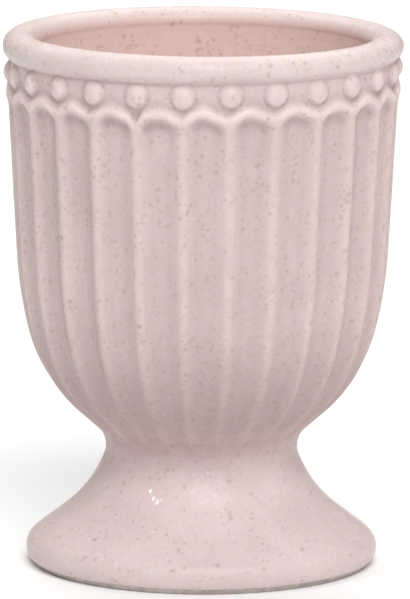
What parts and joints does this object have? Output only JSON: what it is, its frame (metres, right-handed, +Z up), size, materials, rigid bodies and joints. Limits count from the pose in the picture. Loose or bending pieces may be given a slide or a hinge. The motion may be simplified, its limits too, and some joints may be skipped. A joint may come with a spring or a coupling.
{
  "type": "egg cup",
  "caption": "Footed egg cup in speckled pale pink glazed stoneware: deep fluted bowl with arched flute tops, a row of pearls under a rolled rim, narrow neck and flared foot.",
  "frame": {"origin": "centre of the foot, on the plane that the cup stands on", "axes": "+Z up along the cup's axis, out of its mouth; -Y is the side that the picture shows; +X to the picture's right"},
  "size_m": [0.05, 0.05, 0.0671],
  "materials": {
    "glaze": "satin",
    "bare_clay": "matte"
  },
  "bodies": {
    "root": {"foot_ring": "bare_clay", "foot": "glaze", "bowl": "glaze", "scallop_band": "glaze", "rim_roll": "glaze", "pearl_01": "glaze", "pearl_02": "glaze", "pearl_03": "glaze", "pearl_04": "glaze", "pearl_05": "glaze", "pearl_06": "glaze", "pearl_07": "glaze", "pearl_08": "glaze", "pearl_09": "glaze", "pearl_10": "glaze", "pearl_11": "glaze", "pearl_12": "glaze", "pearl_13": "glaze", "pearl_14": "glaze", "pearl_15": "glaze", "pearl_16": "glaze", "pearl_17": "glaze", "pearl_18": "glaze", "pearl_19": "glaze", "pearl_20": "glaze", "pearl_21": "glaze", "pearl_22": "glaze", "pearl_23": "glaze", "pearl_24": "glaze", "pearl_25": "glaze", "pearl_26": "glaze"}
  },
  "joints": []
}
